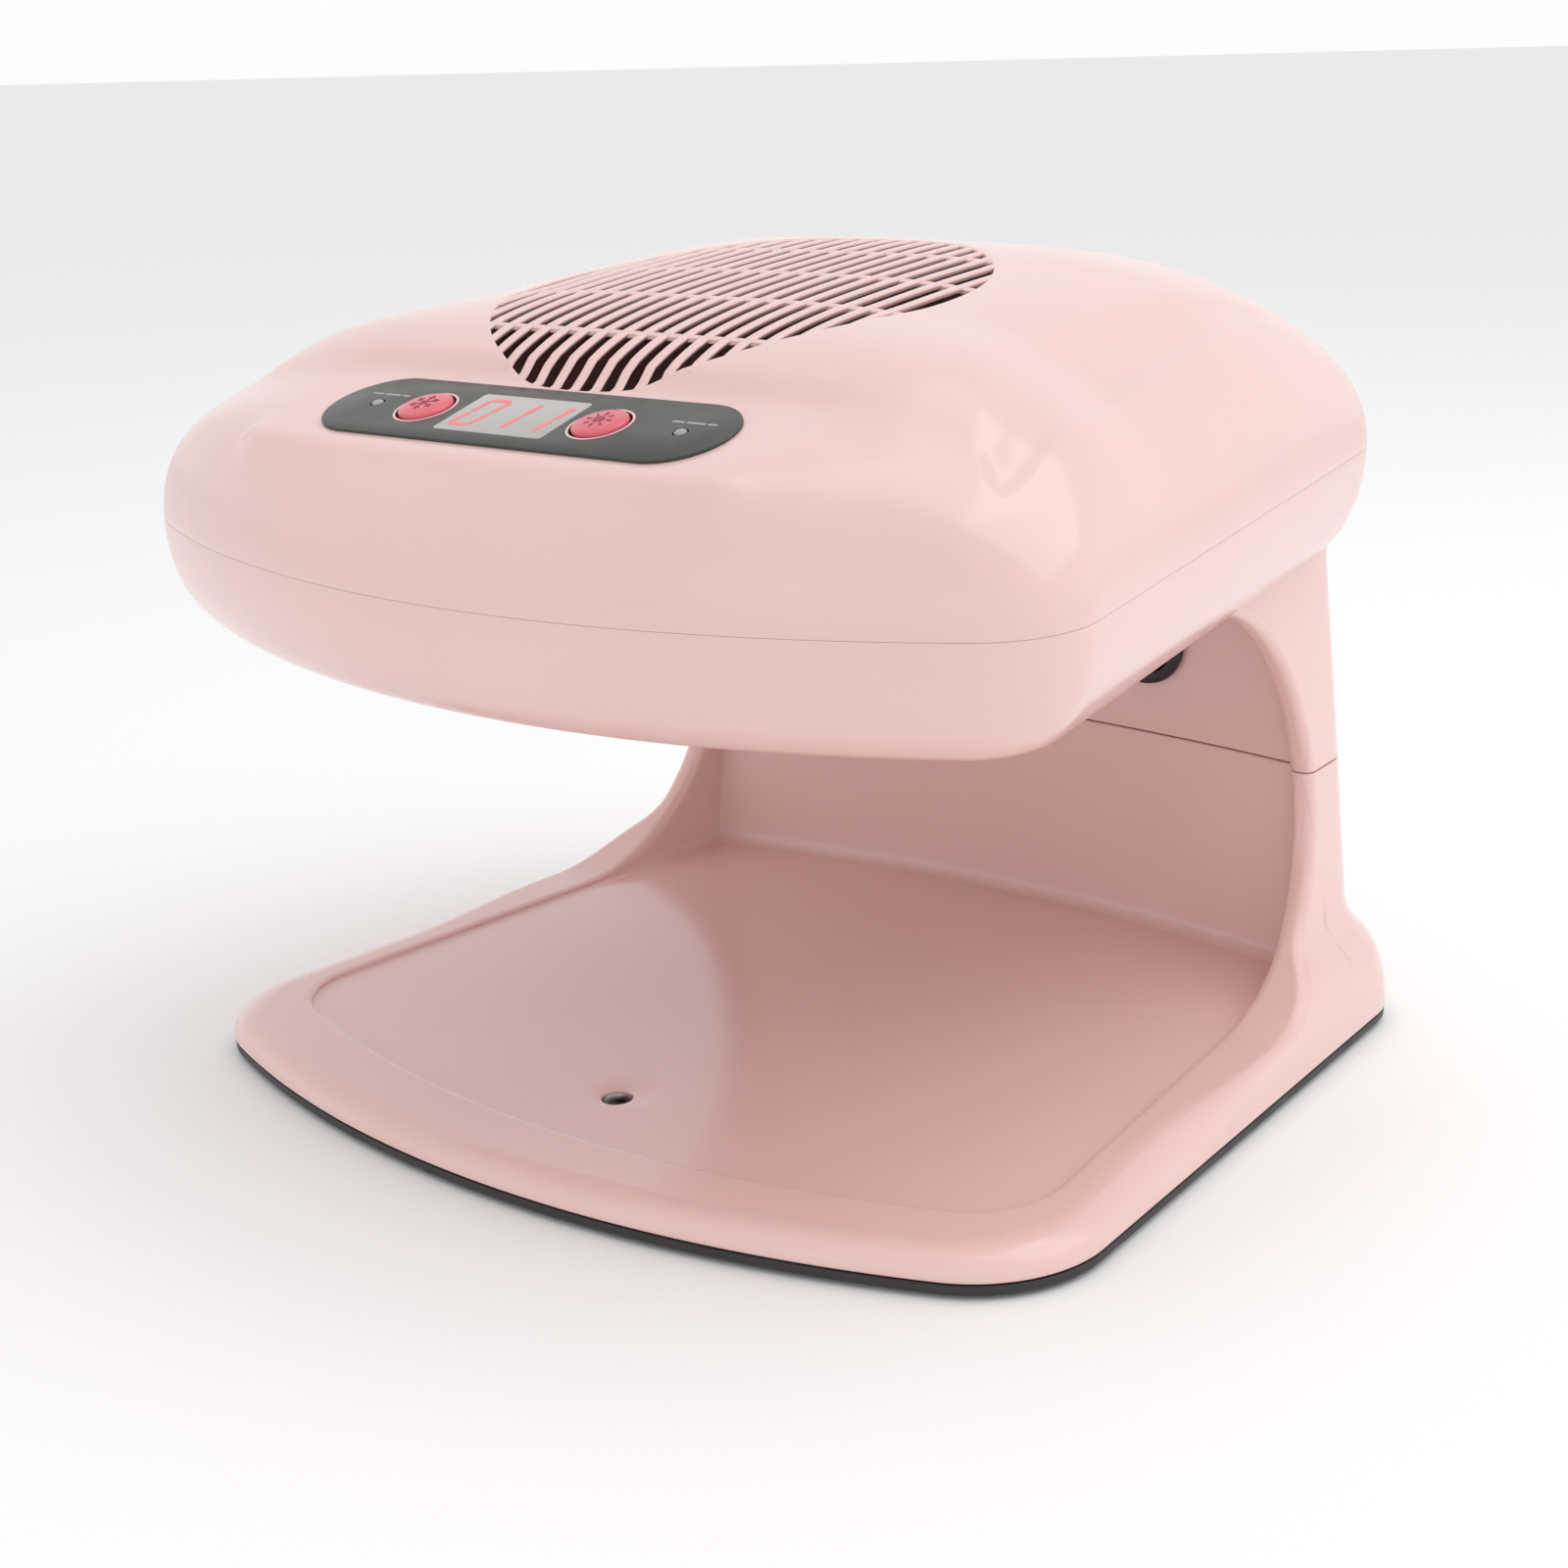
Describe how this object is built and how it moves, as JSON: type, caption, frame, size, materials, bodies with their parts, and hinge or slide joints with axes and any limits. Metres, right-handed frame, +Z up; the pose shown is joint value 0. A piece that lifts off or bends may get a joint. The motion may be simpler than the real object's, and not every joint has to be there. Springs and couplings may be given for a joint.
{
  "type": "nail dryer",
  "caption": "Desktop warm and cool air nail dryer: C-shaped pink body, domed fan head over a hand tray, slatted air inlet, dark control panel with display and push buttons.",
  "frame": {"origin": "on the ground, under the centre of the bounding box", "axes": "+Z up, -Y is the front the hands enter from, +X is the user's right"},
  "size_m": [0.2384, 0.2234, 0.1804],
  "materials": {
    "pink_abs": "glossy pale pink moulding",
    "black_abs": "satin black moulding",
    "black_rubber": "matte black rubber",
    "panel_film": "dark grey-green printed film",
    "smoke_window": "pale smoked display window",
    "red_segments": "three-digit red segment display",
    "red_button": "pinkish red push button",
    "grey_lens": "grey indicator lens",
    "sensor_lens": "dark infrared sensor lens",
    "green_board": "green solder-mask circuit board",
    "white_nylon": "natural nylon moulding",
    "zinc_steel": "zinc plated steel",
    "heater_wire": "oxidised resistance wire",
    "mica_sheet": "mica insulating sheet",
    "copper_tape": "copper winding and tape",
    "capacitor_sleeve": "dark blue shrink sleeve",
    "relay_blue": "blue moulded case"
  },
  "bodies": {
    "body": {"base_plate": "black_abs", "base_shell": "pink_abs", "buzzer": "black_abs", "capacitor": "capacitor_sleeve", "control_board": "green_board", "display_module": "red_segments", "display_window": "smoke_window", "fan_frame": "black_abs", "fan_motor": "copper_tape", "foot_1": "black_rubber", "foot_2": "black_rubber", "foot_3": "black_rubber", "foot_4": "black_rubber", "head_shell": "pink_abs", "heater_coil": "heater_wire", "heater_cross": "mica_sheet", "heater_duct": "mica_sheet", "indicator_left": "grey_lens", "indicator_right": "grey_lens", "outlet_grille": "black_abs", "panel_overlay": "panel_film", "power_board": "green_board", "power_inlet": "black_abs", "relay": "relay_blue", "screw_base_1": "zinc_steel", "screw_base_2": "zinc_steel", "screw_base_3": "zinc_steel", "screw_base_4": "zinc_steel", "screw_head_1": "zinc_steel", "screw_head_2": "zinc_steel", "screw_head_3": "zinc_steel", "screw_head_4": "zinc_steel", "sensor_board": "green_board", "switch_body": "black_abs", "tact_switch_cool": "black_abs", "tact_switch_hot": "black_abs", "thermal_cutout": "zinc_steel", "top_cover": "pink_abs", "transformer": "copper_tape", "tray_sensor": "sensor_lens"},
    "rotor": {"fan_rotor": "black_abs"},
    "hot_button": {"button_hot": "red_button", "switch_plunger_hot": "white_nylon"},
    "cool_button": {"button_cool": "red_button", "switch_plunger_cool": "white_nylon"},
    "rocker": {"switch_rocker": "black_abs"}
  },
  "joints": [
    {"name": "fan_spin", "type": "hinge", "parent": "body", "child": "rotor", "pos_m": [0, -0.0153, 0.1335], "axis": [0, 0, 1], "continuous": true},
    {"name": "hot_press", "type": "slide", "parent": "body", "child": "hot_button", "axis": [0, 0.2874, -0.9578], "range_m": [0, 0.0006], "stiffness_N_per_m": 900},
    {"name": "cool_press", "type": "slide", "parent": "body", "child": "cool_button", "axis": [0, 0.2874, -0.9578], "range_m": [0, 0.0006], "stiffness_N_per_m": 900},
    {"name": "rocker_tip", "type": "hinge", "parent": "body", "child": "rocker", "pos_m": [0.04127, 0.08582, 0.086], "axis": [-0.9958, 0.0911, 0], "range_deg": [0, 16]}
  ]
}
